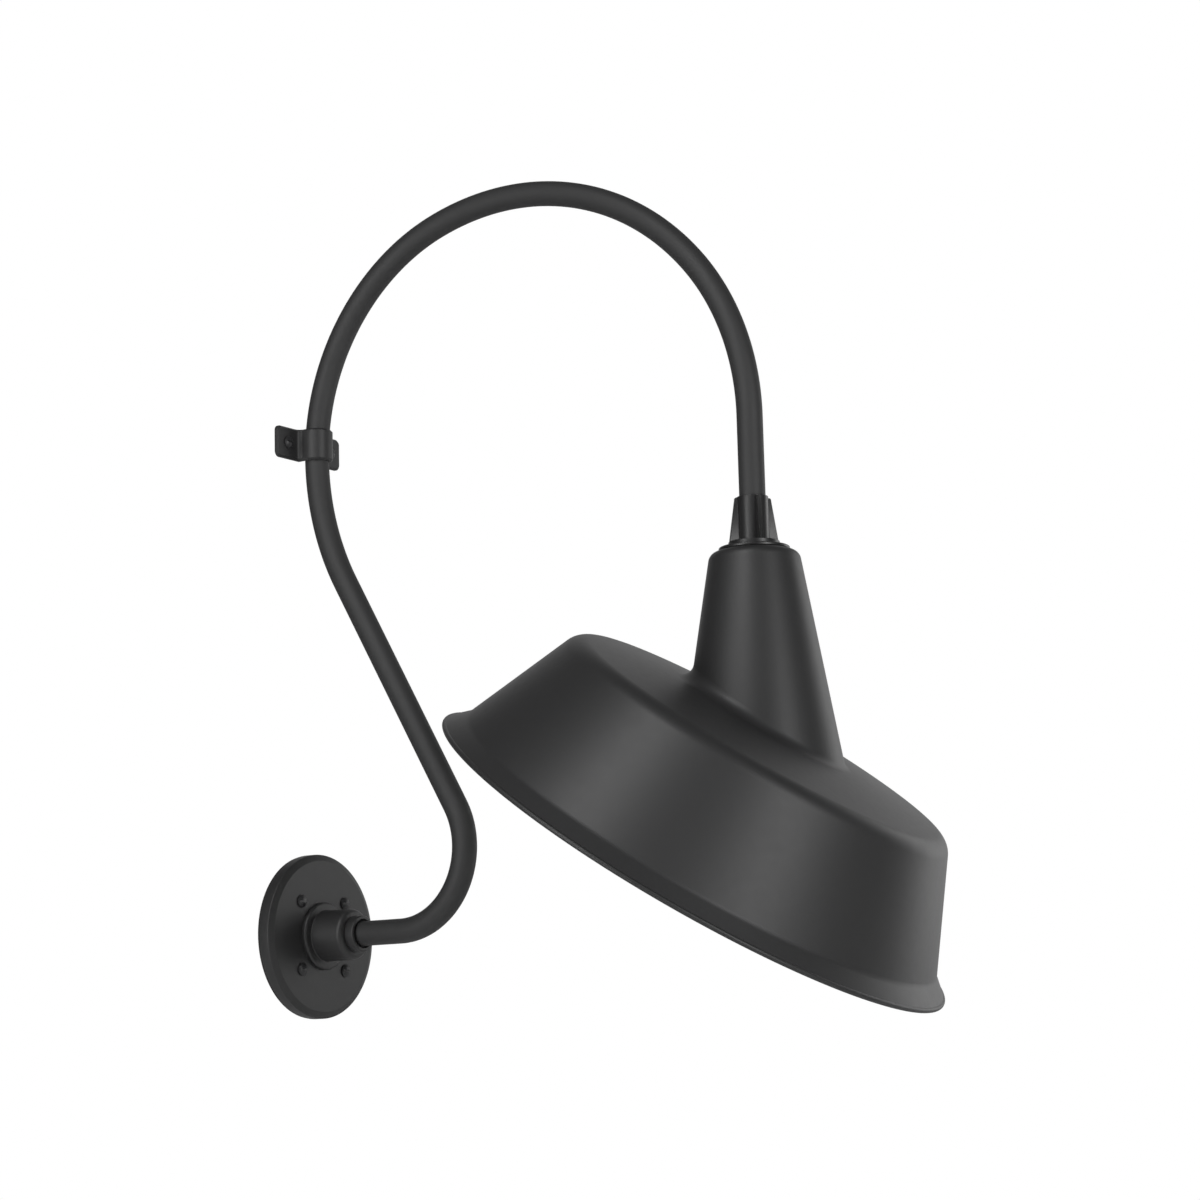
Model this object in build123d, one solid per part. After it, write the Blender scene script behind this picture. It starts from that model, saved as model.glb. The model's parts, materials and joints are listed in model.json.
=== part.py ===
from build123d import *
import math
import os

# Gooseneck wall sconce with an angled, spun steel reflector.
# Millimetres. The origin is the middle of the wall plate on the wall surface,
# +Y goes into the wall, -Y ("out") into the room, and +Z is up.

# ---------------------------------------------------------------- wall plate
GASKET_T = 1.6
GASKET_W = 7.1
GASKET_INSET = 0.4
PLATE_R = 63.5
PLATE_DEPTH = 11.0
PLATE_SKIN = 3.0
PLATE_RIM_W = 5.5
PLATE_BEVEL_R = 5.0
PLATE_BEVEL_H = 2.4
PLATE_INNER_BEVEL = 4.0
SCREW_FROM_BEAD = 5.93          # gap from the bead to a wall screw's head
SHANK_R = 2.6                   # plain shank, as far as the wall surface
STUD_R = 2.1                    # thread past the wall surface
HEAD_R = 4.95
HEAD_H = 3.2
HEAD_EDGE = 0.9                 # upright edge under the head's dome
SLOT_W = 1.25
SLOT_DEPTH = 1.3
STUD_OUT = 22.0                 # plate screw's length past the wall surface
GROUND_HEAD_R = 3.4
GROUND_HEAD_H = 2.6
GROUND_SHANK_R = 1.7
GROUND_DEPTH = 1.8
GROUND_FROM_CENTRE = 40.0

# ------------------------------------------------------------------- arm hub
BEAD_R = 26.1
BEAD_H = 3.7
BEAD_ROUND = 2.0
BOSS_R = 19.6
BOSS_L = 32.2
BOSS_ROUND = 4.2
SPIGOT_R = 13.0
SPIGOT_PAST_NUT = 2.8
WIRE_R = 7.0
LOCKNUT_T = 5.0
LOCKNUT_RIM = 6.5               # locknut corner, past its thread
TUBE_GRIP = 23.8                # tube held inside the hub
SET_SCREW_R = 2.5
SET_SCREW_L = 8.9
SET_SCREW_BACK = 8.8            # behind the boss's front
COLLAR_R = 14.05
COLLAR_L = 7.7
COLLAR_ROUND = 1.2
COLLAR_FLOOR = 2.0
COLLAR_GAP = 1.575              # ring gap between the tube and the collar
SEAL_T = 3.4

# ----------------------------------------------------------------- gooseneck
TUBE_R = 9.525
TUBE_WALL = 1.5
TUBE_OFF_WALL = 1.4             # gap to the wall behind the tube at the strap
LEG = 88.9                      # straight out of the wall, from its surface
LOWER_BEND_R = 61.7
LOWER_BEND = 119.5
REVERSE_BEND_R = 215.0          # from the diagonal to upright, at the strap
HOOK_BACK_R = 174.5
HOOK_BACK = 72.7
HOOK_TOP_R = 220.6
HOOK_TOP = 68.4
HOOK_FRONT_R = 195.4
DROP = 59.5                     # straight, down to the fitter's top
HALF_TURN = 180.0               # the hook's three arcs end plumb
BUSH_BORE_R = 6.2
BUSH_L = 6.0
BUSH_FLANGE = 1.0
BUSH_FLANGE_INSET = 0.3
LEAD_R = 1.15
LEAD_PITCH = 3.4
LEAD_TAIL = 30.0                # wire ends past the wall surface

# ---------------------------------------------------------------- wall strap
STRAP_W = 78.0
STRAP_H = 25.4
STRAP_T = 3.2
STRAP_CORNER = 4.5
STRAP_BEVEL = 1.5
STRAP_INNER_ROUND = 3.6
BAND_T = 3.0
STRAP_SCREW_FROM_END = 13.0
STRAP_STUD_OUT = 6.0            # strap screw's length past the wall surface
STRAP_RAISE = 8.0               # above the tube's nearest point to the wall
STRAP_SLOTS = (12.0, -8.0)      # turn of each screw's slot, degrees

# ------------------------------------------------------------- ribbed fitter
AIM = 8.0                       # the shade stands turned this far, degrees
RUNNING_GAP = 0.05
SLEEVE_WALL = 1.725
SLEEVE_L = 33.0
TUBE_IN_FITTER = 25.0
RIBS = 4
RIB_T = 3.9
RIB_TURN = 36.0
RIB_TOP = 2.2                   # rib height over the sleeve at the top
RIB_LOW = 7.1                   # and at the base ring
RING_R = 18.5
RING_T = 4.0
FLANGE_R = 25.6
FLANGE_T = 2.2
FLANGE_BEVEL = 1.0
THREAD_R = 15.0
THREAD_L = 14.8
FITTER_WIRE_R = 7.5
EDGE_BREAK = 0.5
FITTER_SCREW_R = 2.0
FITTER_SCREW_L = 3.5
FITTER_SCREW_Z = -14.0

# ------------------------------------------------------------- neck and dish
SHEET = 1.2
NECK_GASKET_T = 0.8
NECK_TOP_R = 32.2               # where the top's plane meets the taper
NECK_TAPER = 9.68
NECK_SHOULDER = 7.5
NECK_FILLET = 5.0
NECK_FOOT = 43.0                # end of the neck above the rim's centre, all inside the dish
NUT_T = 5.5
NUT_RIM = 6.0
TILT = 34.3                     # dish axis from vertical
DISH_BACK = 55.8                # rim centre, behind the drop tube
DISH_DROP = 217.9               # rim centre, below the neck's top
RIM_R = 204.1
RIM_BEAD_R = 1.9
LIP_IN, LIP_H = 1.5, 3.2        # end of the flare, in from the rim
FLARE_IN, FLARE_H = 13.2, 13.9  # corner between wall and flare
FLARE_ROUND = 9.0
SHOULDER_IN, SHOULDER_H = 53.4, 102.4
SHOULDER_ROUND = 17.3
CROWN_H = 118.6
HOLE_LIP = 3.0                  # dish sheet left inside the neck

# ------------------------------------------------------------ socket and bulb
BRACKET_W = 15.0
BRACKET_T = 1.6
BRACKET_LEG = 18.0
BRACKET_SCREW_R = 1.5
BRACKET_SCREW_L = 5.4           # thread in the fitter
BRACKET_SCREW_AT = 11.2
PAN_R = 2.7
PAN_H = 1.8
PAN_SLOT = 0.32                 # slot width, as a share of the head's radius
KEY_SHARE = 0.55                # set screw's hexagon socket, as a share of its radius
KEY_DEPTH = 0.7
SOCKET_R = 20.0
SOCKET_L = 46.0
SOCKET_DROP = 2.4               # below the bracket's plate
SOCKET_FLOOR = 8.0
SOCKET_LIP = 5.0
SOCKET_LIP_EDGE = 3.5
SOCKET_MOUTH = 2.45             # ring gap between the mouth and the cap
SOCKET_ROUND = 2.0
SIDE_SCREW_Z = 12.0             # below the fitter's lower end
SIDE_SCREW_L = 3.0
POCKET_R, POCKET_L = 3.2, 0.6   # clears the bracket screws' heads
CAP_R = 13.08
SHELL_GAP = 0.07
SHELL_WALL = 0.7
SHELL_L = 27.0
CONTACT_R, CONTACT_T, CONTACT_H = 6.0, 1.2, 4.0
CONTACT_NOSE_R, CONTACT_FOOT_R = 1.2, 2.5
TIP_R, TIP_H = 4.8, 1.4
INSULATOR_R, INSULATOR_H = 11.6, 1.6
INSULATOR_TOP_R = 6.6
CAP_L, CAP_WALL, CAP_ROUND = 26.0, 0.35, 1.2
GLASS_NECK_R = 12.9
GLASS_NECK_L = 1.1
GLASS_R = 30.0
GLASS_WALL = 0.8
GLASS_BLEND = 35.0              # where the ball meets the neck's curve, degrees

# -------------------------------------------------------------- worked out
FACE = GASKET_T + PLATE_DEPTH
RIB_STEP = 2 * HALF_TURN / RIBS
BACK = FACE - PLATE_SKIN                            # inside of the plate's skin
SCREW_XZ = (BEAD_R + SCREW_FROM_BEAD + HEAD_R) / math.sqrt(2)
BOSS_FRONT = FACE + BOSS_L
COLLAR_MOUTH_R = TUBE_R + COLLAR_GAP
TUBE_START = BOSS_FRONT - TUBE_GRIP
TUBE_BORE_R = TUBE_R - TUBE_WALL
SLEEVE_BORE = TUBE_R + RUNNING_GAP
SLEEVE_R = SLEEVE_BORE + SLEEVE_WALL
RING_Z = -SLEEVE_L
FLANGE_Z = RING_Z - RING_T
THREAD_Z = FLANGE_Z - FLANGE_T
NECK_TOP_Z = THREAD_Z - NECK_GASKET_T
FITTER_END = THREAD_Z - THREAD_L
DISH_Z = NECK_TOP_Z - DISH_DROP
NECK_CUT_Z = DISH_Z + NECK_FOOT
SOCKET_TOP = FITTER_END - BRACKET_T - SOCKET_DROP
SOCKET_END = SOCKET_TOP - SOCKET_L
SHELL_R = CAP_R + SHELL_GAP
CONTACT_Z = SOCKET_TOP - SOCKET_FLOOR
TIP_Z = CONTACT_Z - CONTACT_H
INSULATOR_Z = TIP_Z - TIP_H
CAP_Z = INSULATOR_Z - INSULATOR_H
GLASS_Z = CAP_Z - CAP_L

os.makedirs("parts", exist_ok=True)

HERE = 0.05                     # how near an edge or corner lies to where it is looked for
OUT_AXIS = Axis((0, 0, 0), (0, -1, 0))
OUT = Plane((0, 0, 0), x_dir=(0, 0, 1), z_dir=(1, 0, 0))     # x radius, y out
UP = Plane((0, 0, 0), x_dir=(1, 0, 0), z_dir=(0, -1, 0))     # x radius, y up
ARM = Plane((0, 0, 0), x_dir=(0, -1, 0), z_dir=(-1, 0, 0))   # x out, y up


# ------------------------------------------------------------------- helpers
def one(shape):
    """The shape's single solid, or a compound of its solids."""
    solids = shape.solids()
    return solids[0] if len(solids) == 1 else Compound(children=list(solids))


def poly(*points):
    return make_face(Polyline(*points, close=True))


def rounded(face, point, radius):
    """Round the corner of a face that lies at a point."""
    near = [v for v in face.vertices() if math.hypot(v.X - point[0], v.Y - point[1]) < HERE]
    return fillet(near, radius)


def turned_out(face):
    return one(revolve(OUT * face, OUT_AXIS))


def turned_up(face):
    return one(revolve(UP * face, Axis.Z))


def ring(r0, r1, a, b):
    return poly((r0, a), (r1, a), (r1, b), (r0, b))


def offset_line(a, b, t):
    """The line a-b moved t to the right of its direction."""
    n = math.hypot(b[0] - a[0], b[1] - a[1])
    dx, dy = (b[1] - a[1]) / n * t, (a[0] - b[0]) / n * t
    return (a[0] + dx, a[1] + dy), (b[0] + dx, b[1] + dy)


def crossing(first, second):
    (x1, y1), (x2, y2) = first
    (x3, y3), (x4, y4) = second
    d = (x1 - x2) * (y3 - y4) - (y1 - y2) * (x3 - x4)
    a, b = x1 * y2 - y1 * x2, x3 * y4 - y3 * x4
    return (a * (x3 - x4) - (x1 - x2) * b) / d, (a * (y3 - y4) - (y1 - y2) * b) / d


def bar(radius, length, x=0.0, out=0.0, z=0.0):
    """A cylinder along Y, centred at a place."""
    return Pos(x, -out, z) * Rot(90, 0, 0) * Cylinder(radius, length)


def hex_nut(bore_r, rim, thickness):
    """A nut with its seat on z = 0, downwards."""
    blank = extrude(Plane.XY * RegularPolygon(bore_r + rim, 6), -thickness)
    return one(blank - Cylinder(bore_r, 4 * thickness))


def wall_screw(seat, stud_out, slot_turn=0.0):
    """Slotted round head along +Z, seat at z = 0, at a height over the wall surface."""
    sag = HEAD_H - HEAD_EDGE
    dome_r = (HEAD_R ** 2 + sag ** 2) / (2 * sag)
    head = Pos(0, 0, HEAD_H / 2) * Cylinder(HEAD_R, HEAD_H) & Pos(0, 0, HEAD_H - dome_r) * Sphere(dome_r)
    head -= Rot(0, 0, slot_turn) * Pos(0, 0, HEAD_H) * Box(3 * HEAD_R, SLOT_W, 2 * SLOT_DEPTH)
    shank = Pos(0, 0, -seat / 2) * Cylinder(SHANK_R, seat)
    return one(head + shank + Pos(0, 0, -seat - stud_out / 2) * Cylinder(STUD_R, stud_out))


def pan_screw(head_r, head_h, shank_r, length):
    """Slotted flat head along +Z, seat at z = 0."""
    head = Pos(0, 0, head_h / 2) * Cylinder(head_r, head_h)
    head -= Pos(0, 0, head_h) * Box(3 * head_r, PAN_SLOT * head_r, head_h)
    return one(head + Pos(0, 0, -length / 2) * Cylinder(shank_r, length))


def socket_set_screw(radius, length):
    """Set screw along +Z from z = 0, with a hexagon socket in its far end."""
    key = Pos(0, 0, length - radius * KEY_DEPTH) * extrude(RegularPolygon(radius * KEY_SHARE, 6), radius)
    return one(Pos(0, 0, length / 2) * Cylinder(radius, length) - key)


def facing_room(solid, x, out, z):
    return Pos(x, -out, z) * Rot(90, 0, 0) * solid


# ---------------------------------------------------------- plate and arm hub
def screw_places():
    return [(sx * SCREW_XZ, sz * SCREW_XZ) for sx in (-1, 1) for sz in (-1, 1)]


def wall_plate():
    rim_in = PLATE_R - PLATE_RIM_W
    plate = turned_out(poly(
        (SPIGOT_R, BACK), (rim_in - PLATE_INNER_BEVEL, BACK), (rim_in, BACK - PLATE_BEVEL_H),
        (rim_in, GASKET_T), (PLATE_R, GASKET_T), (PLATE_R, FACE - PLATE_BEVEL_H),
        (PLATE_R - PLATE_BEVEL_R, FACE), (SPIGOT_R, FACE)))
    for x, z in screw_places():
        plate -= bar(SHANK_R, 4 * PLATE_DEPTH, x, FACE, z)
    plate -= bar(GROUND_SHANK_R, 2 * GROUND_DEPTH, 0, BACK, -GROUND_FROM_CENTRE)
    return one(plate)


def plate_gasket():
    edge = PLATE_R - GASKET_INSET
    return turned_out(ring(edge - GASKET_W, edge, 0.0, GASKET_T))


def plate_screws():
    screw = wall_screw(FACE, STUD_OUT)
    return Compound(children=[facing_room(screw, x, FACE, z) for x, z in screw_places()])


def ground_screw():
    screw = pan_screw(GROUND_HEAD_R, GROUND_HEAD_H, GROUND_SHANK_R, GROUND_DEPTH)
    return Pos(0, -BACK, -GROUND_FROM_CENTRE) * Rot(-90, 0, 0) * screw


def arm_screw_place():
    return Pos(TUBE_R, SET_SCREW_BACK - BOSS_FRONT, 0) * Rot(0, 90, 0)


def arm_hub():
    spigot_end = BACK - LOCKNUT_T - SPIGOT_PAST_NUT
    seat = TUBE_START - BUSH_FLANGE
    bead = FACE + BEAD_H
    face = poly((WIRE_R, spigot_end), (SPIGOT_R, spigot_end), (SPIGOT_R, FACE), (BEAD_R, FACE),
                (BEAD_R, bead), (BOSS_R, bead), (BOSS_R, BOSS_FRONT), (TUBE_R, BOSS_FRONT),
                (TUBE_R, seat), (WIRE_R, seat))
    face = rounded(face, (BEAD_R, bead), BEAD_ROUND)
    face = rounded(face, (BOSS_R, BOSS_FRONT), BOSS_ROUND)
    hole = arm_screw_place() * Pos(0, 0, BOSS_R / 2) * Cylinder(SET_SCREW_R, BOSS_R)
    return one(turned_out(face) - hole)


def hub_locknut():
    return Pos(0, -BACK, 0) * Rot(-90, 0, 0) * Rot(180, 0, 0) * hex_nut(SPIGOT_R, LOCKNUT_RIM, LOCKNUT_T)


def arm_set_screw():
    return arm_screw_place() * socket_set_screw(SET_SCREW_R, SET_SCREW_L)


def arm_collar():
    front, floor = BOSS_FRONT + COLLAR_L, BOSS_FRONT + COLLAR_FLOOR
    face = poly((TUBE_R, BOSS_FRONT), (COLLAR_R, BOSS_FRONT), (COLLAR_R, front), (COLLAR_MOUTH_R, front),
                (COLLAR_MOUTH_R, floor), (TUBE_R, floor))
    return turned_out(rounded(face, (COLLAR_R, front), COLLAR_ROUND))


def arm_seal():
    floor = BOSS_FRONT + COLLAR_FLOOR
    return turned_out(ring(TUBE_R, COLLAR_MOUTH_R, floor, floor + SEAL_T))


# ---------------------------------------------------------------- gooseneck
def walk(segments, start):
    """Lines and tangent arcs in the arm's plane, from a heading straight out."""
    x, y, heading, edges = start[0], start[1], 0.0, []
    for length, *turn in segments:
        if turn:
            angle = math.radians(turn[0])
            side = math.copysign(1.0, angle)
            cx, cy = x - side * length * math.sin(heading), y + side * length * math.cos(heading)
            rim = [(cx + side * length * math.sin(heading + a), cy - side * length * math.cos(heading + a))
                   for a in (angle / 2, angle)]
            edges.append(ThreePointArc((x, y), *rim))
            x, y = rim[1]
            heading += angle
        else:
            end = (x + length * math.cos(heading), y + length * math.sin(heading))
            edges.append(Line((x, y), end))
            x, y = end
    return edges, (x, y)


def diagonal():
    """Length of the straight that brings the tube back to the wall."""
    lean = math.radians(LOWER_BEND)
    out = LEG + LOWER_BEND_R * math.sin(lean)
    back = REVERSE_BEND_R * (1 - math.sin(lean))
    return (out - back - TUBE_R - TUBE_OFF_WALL) / -math.cos(lean)


TO_STRAP = [(LOWER_BEND_R, LOWER_BEND), (diagonal(),), (REVERSE_BEND_R, 90.0 - LOWER_BEND)]
HOOK = [(HOOK_BACK_R, -HOOK_BACK), (HOOK_TOP_R, -HOOK_TOP), (HOOK_FRONT_R, HOOK_BACK + HOOK_TOP - HALF_TURN)]
NEAREST_OUT, NEAREST_Z = walk([(LEG,)] + TO_STRAP, (0, 0))[1]
STRAP_OUT = NEAREST_OUT + HOOK_BACK_R - math.sqrt(HOOK_BACK_R ** 2 - STRAP_RAISE ** 2)
STRAP_Z = NEAREST_Z + STRAP_RAISE
HUB_OUT, HOOK_END_Z = walk([(LEG,)] + TO_STRAP + HOOK, (0, 0))[1]
FITTER_Z = HOOK_END_Z - DROP


def along_arm(radius, start, past_fitter, x=0.0):
    """A rod along the arm's centreline, from a distance out to below the fitter's top."""
    edges, _ = walk([(LEG - start,)] + TO_STRAP + HOOK + [(DROP + past_fitter,)], (start, 0))
    section = Plane((0, -start, 0), x_dir=(1, 0, 0), z_dir=(0, -1, 0)) * Circle(radius)
    return Pos(x, 0, 0) * sweep(section, path=Wire([ARM * e for e in edges]))


def gooseneck_tube():
    outer = along_arm(TUBE_R, TUBE_START, TUBE_IN_FITTER)
    return one(outer - along_arm(TUBE_BORE_R, TUBE_START, TUBE_IN_FITTER))


def tube_bushings():
    bush = turned_up(ring(BUSH_BORE_R, TUBE_BORE_R, -BUSH_L, 0))
    bush = one(bush + turned_up(ring(BUSH_BORE_R, TUBE_R - BUSH_FLANGE_INSET, 0, BUSH_FLANGE)))
    low = Pos(0, -HUB_OUT, FITTER_Z - TUBE_IN_FITTER) * Rot(180, 0, 0)
    return Compound(children=[Pos(0, -TUBE_START, 0) * Rot(-90, 0, 0) * bush, low * bush])


def lead(x):
    return one(along_arm(LEAD_R, -LEAD_TAIL, -SOCKET_TOP, x))


# --------------------------------------------------------------- wall strap
def strap_screw_x():
    return STRAP_W / 2 - STRAP_SCREW_FROM_END


def wall_strap():
    band_r = TUBE_R + BAND_T
    section = Pos(0, -STRAP_T / 2) * Rectangle(STRAP_W, STRAP_T)
    section += Pos(0, -STRAP_OUT) * Circle(band_r)
    section += Pos(0, -STRAP_OUT / 2) * Rectangle(2 * band_r, STRAP_OUT)
    section &= Pos(0, -STRAP_W / 2) * Rectangle(STRAP_W, STRAP_W)      # nothing behind the wall surface
    section = section.faces()[0]
    for side in (-1, 1):
        section = rounded(section, (side * band_r, -STRAP_T), STRAP_INNER_ROUND)
    strap = extrude(Pos(0, 0, STRAP_Z - STRAP_H / 2) * section, STRAP_H)
    ends = [e for e in strap.edges().filter_by(Axis.Y) if abs(abs(e.center().X) - STRAP_W / 2) < HERE]
    strap = fillet(ends, STRAP_CORNER)
    bevels = []
    for face in strap.faces().filter_by(Axis.Y):
        if abs(face.center().Y + STRAP_T) < HERE:
            inner = min(abs(e.center().X) for e in face.edges())
            bevels += [e for e in face.edges() if abs(e.center().X) > inner + HERE]
    strap = chamfer(bevels, STRAP_BEVEL)
    strap -= along_arm(TUBE_R, TUBE_START, TUBE_IN_FITTER)
    strap -= Pos(0, -STRAP_OUT / 2, STRAP_Z) * Box(2 * TUBE_R, STRAP_OUT, 2 * STRAP_H)
    for side in (-1, 1):
        strap -= bar(SHANK_R, 4 * STRAP_T, side * strap_screw_x(), 0, STRAP_Z)
    return one(strap)


def strap_screws():
    return Compound(children=[
        facing_room(wall_screw(STRAP_T, STRAP_STUD_OUT, turn), side * strap_screw_x(), STRAP_T, STRAP_Z)
        for side, turn in zip((-1, 1), STRAP_SLOTS)])


# ------------------------------------------------- fitter, in the shade's frame
# Origin on the drop tube's axis at the fitter's top, z up, -y towards the room.
def rib():
    inner, foot = SLEEVE_R - SLEEVE_WALL / 2, RING_Z
    face = poly((inner, -EDGE_BREAK), (SLEEVE_R + RIB_TOP - EDGE_BREAK, -2 * EDGE_BREAK),
                (SLEEVE_R + RIB_TOP, -3 * EDGE_BREAK), (SLEEVE_R + RIB_LOW, foot), (inner, foot))
    return extrude(UP * face, RIB_T / 2, both=True)


def fitter_screw_place():
    """Half way between two ribs, on the side towards the wall."""
    turn = RIB_TURN + RIB_STEP / 2
    return Rot(0, 0, turn) * Pos(SLEEVE_BORE, 0, FITTER_SCREW_Z) * Rot(0, 90, 0)


def bracket_screw_places():
    return [Pos(0, side * BRACKET_SCREW_AT, FITTER_END) for side in (-1, 1)]


def shade_fitter():
    floor = -TUBE_IN_FITTER - BUSH_FLANGE
    fitter = turned_up(poly(
        (SLEEVE_BORE, 0), (SLEEVE_R - EDGE_BREAK, 0), (SLEEVE_R, -EDGE_BREAK), (SLEEVE_R, RING_Z),
        (RING_R - EDGE_BREAK, RING_Z), (RING_R, RING_Z - EDGE_BREAK), (RING_R, FLANGE_Z),
        (FLANGE_R - FLANGE_BEVEL, FLANGE_Z), (FLANGE_R, FLANGE_Z - FLANGE_BEVEL), (FLANGE_R, THREAD_Z),
        (THREAD_R, THREAD_Z), (THREAD_R, FITTER_END), (FITTER_WIRE_R, FITTER_END), (FITTER_WIRE_R, floor),
        (SLEEVE_BORE, floor)))
    for i in range(RIBS):
        fitter += Rot(0, 0, RIB_TURN + i * RIB_STEP) * rib()
    fitter -= fitter_screw_place() * Cylinder(FITTER_SCREW_R, 2 * FITTER_SCREW_L)
    for place in bracket_screw_places():
        fitter -= place * Cylinder(BRACKET_SCREW_R, 2 * BRACKET_SCREW_L)
    return one(fitter)


def shade_set_screw():
    return fitter_screw_place() * socket_set_screw(FITTER_SCREW_R, FITTER_SCREW_L)


# ------------------------------------------------------------- neck and dish
def neck_r(z):
    return NECK_TOP_R + math.tan(math.radians(NECK_TAPER)) * (NECK_TOP_Z - z)


def neck_solid(inset=0.0):
    """The neck filled from its axis, drawn in by a wall; it runs on into the dish."""
    top, corner = (0, NECK_TOP_Z), (NECK_TOP_R, NECK_TOP_Z)
    side = offset_line(corner, (neck_r(NECK_CUT_Z), NECK_CUT_Z), inset)
    corner = crossing(offset_line(top, corner, inset), side)
    face = poly((0, corner[1]), corner, side[1], (0, side[1][1]))
    return turned_up(rounded(face, corner, NECK_SHOULDER - inset))


def dish_corners():
    inwards = ((RIM_R, CROWN_H), (SHOULDER_IN, SHOULDER_H), (FLARE_IN, FLARE_H), (LIP_IN, LIP_H))
    return [(RIM_R - inset, height) for inset, height in inwards]


def dish_place():
    """The dish's own frame: z along its axis, origin at the rim's centre."""
    lean = math.radians(TILT)
    return Plane((0, DISH_BACK, DISH_Z), x_dir=(0, -math.cos(lean), -math.sin(lean)),
                 z_dir=(0, -math.sin(lean), math.cos(lean))).location


def dish_solid():
    """The dish filled down to its rim, for trimming what lands on it."""
    crown, shoulder, flare, lip = dish_corners()
    face = poly(crown, shoulder, flare, lip, (lip[0], 0), (0, 0))
    face = rounded(face, shoulder, SHOULDER_ROUND)
    return dish_place() * turned_up(rounded(face, flare, FLARE_ROUND + SHEET))


def shade_dish():
    outer = dish_corners()
    crown, shoulder, flare, lip = outer
    inner = [offset_line(a, b, SHEET) for a, b in zip(outer, outer[1:])]
    in_shoulder, in_flare = crossing(inner[0], inner[1]), crossing(inner[1], inner[2])
    in_crown = crossing(inner[0], ((0, 0), (0, 1)))
    face = poly(crown, shoulder, flare, lip, inner[2][1], in_flare, in_shoulder, in_crown)
    face = rounded(face, shoulder, SHOULDER_ROUND)
    face = rounded(face, in_shoulder, SHOULDER_ROUND - SHEET)
    face = rounded(face, flare, FLARE_ROUND + SHEET)
    face = rounded(face, in_flare, FLARE_ROUND)
    bead = Pos(RIM_R - RIM_BEAD_R, RIM_BEAD_R) * Circle(RIM_BEAD_R)
    shell = dish_place() * turned_up((face + bead).faces()[0])
    return one(shell - neck_solid(SHEET + HOLE_LIP))


def neck_cone():
    shell = neck_solid() - neck_solid(SHEET) - dish_solid()
    shell -= Pos(0, 0, NECK_TOP_Z) * Cylinder(THREAD_R, 4 * SHEET)
    return max(shell.solids(), key=lambda s: s.volume)


def neck_fillet():
    """The brazed fillet round the neck's foot."""
    neck, dish = neck_solid(), dish_solid()
    joined = (neck + dish).clean()
    foot = []
    for edge in joined.edges():
        spots = [edge @ t for t in (0.0, 0.31, 0.77)]
        on_neck = all(abs(math.hypot(p.X, p.Y) - neck_r(p.Z)) < HERE for p in spots)
        below_shoulder = all(p.Z < NECK_TOP_Z - 2 * NECK_SHOULDER for p in spots)
        if on_neck and below_shoulder and edge.geom_type != GeomType.LINE:
            foot.append(edge)
    return max((joined.fillet(NECK_FILLET, foot) - neck - dish).solids(), key=lambda s: s.volume)


def neck_gasket():
    return turned_up(ring(THREAD_R, FLANGE_R - FLANGE_BEVEL, NECK_TOP_Z, THREAD_Z))


def neck_locknut():
    return Pos(0, 0, NECK_TOP_Z - SHEET) * hex_nut(THREAD_R, NUT_RIM, NUT_T)


# ------------------------------------------------------------ socket and bulb
def side_screw_places():
    z = FITTER_END - SIDE_SCREW_Z
    return [Pos(0, side * (SOCKET_R + BRACKET_T), z) * Rot(-90 * side, 0, 0) for side in (-1, 1)]


def socket_bracket():
    bracket = Pos(0, 0, FITTER_END - BRACKET_T / 2) * Box(BRACKET_W, 2 * (SOCKET_R + BRACKET_T), BRACKET_T)
    for side in (-1, 1):
        bracket += Pos(0, side * (SOCKET_R + BRACKET_T / 2), FITTER_END - BRACKET_LEG / 2) * Box(
            BRACKET_W, BRACKET_T, BRACKET_LEG)
    bracket -= Pos(0, 0, FITTER_END) * Cylinder(BUSH_BORE_R, 4 * BRACKET_T)
    for place in bracket_screw_places():
        bracket -= place * Cylinder(BRACKET_SCREW_R, 4 * BRACKET_T)
    for place in side_screw_places():
        bracket -= place * Cylinder(BRACKET_SCREW_R, 4 * BRACKET_T)
    return one(bracket)


def bracket_screws():
    screw = pan_screw(PAN_R, PAN_H, BRACKET_SCREW_R, BRACKET_T + BRACKET_SCREW_L)
    return Compound(children=[place * Pos(0, 0, -BRACKET_T) * Rot(180, 0, 0) * screw
                              for place in bracket_screw_places()])


def socket_screws():
    screw = pan_screw(PAN_R, PAN_H, BRACKET_SCREW_R, BRACKET_T + SIDE_SCREW_L)
    return Compound(children=[place * screw for place in side_screw_places()])


def socket_body():
    shell_seat_r, mouth_r = SHELL_R + SHELL_WALL, SHELL_R + SOCKET_MOUTH
    face = poly((0, SOCKET_TOP), (SOCKET_R, SOCKET_TOP), (SOCKET_R, SOCKET_END), (mouth_r, SOCKET_END),
                (mouth_r, SOCKET_END + SOCKET_LIP_EDGE), (shell_seat_r, SOCKET_END + SOCKET_LIP),
                (shell_seat_r, CONTACT_Z), (0, CONTACT_Z))
    body = turned_up(rounded(face, (SOCKET_R, SOCKET_END), SOCKET_ROUND))
    for place in side_screw_places():
        body -= place * Pos(0, 0, -BRACKET_T) * Cylinder(BRACKET_SCREW_R, 2 * SIDE_SCREW_L)
    for side in (-1, 1):
        body -= Pos(0, side * BRACKET_SCREW_AT, SOCKET_TOP) * Cylinder(POCKET_R, 2 * POCKET_L)
    return one(body)


def socket_shell():
    low = SOCKET_END + SOCKET_LIP
    return turned_up(ring(SHELL_R, SHELL_R + SHELL_WALL, low, low + SHELL_L))


def socket_contact():
    return turned_up(poly((0, CONTACT_Z), (CONTACT_R, CONTACT_Z), (CONTACT_R, CONTACT_Z - CONTACT_T),
                          (CONTACT_FOOT_R, CONTACT_Z - CONTACT_T), (CONTACT_NOSE_R, TIP_Z), (0, TIP_Z)))


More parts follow.
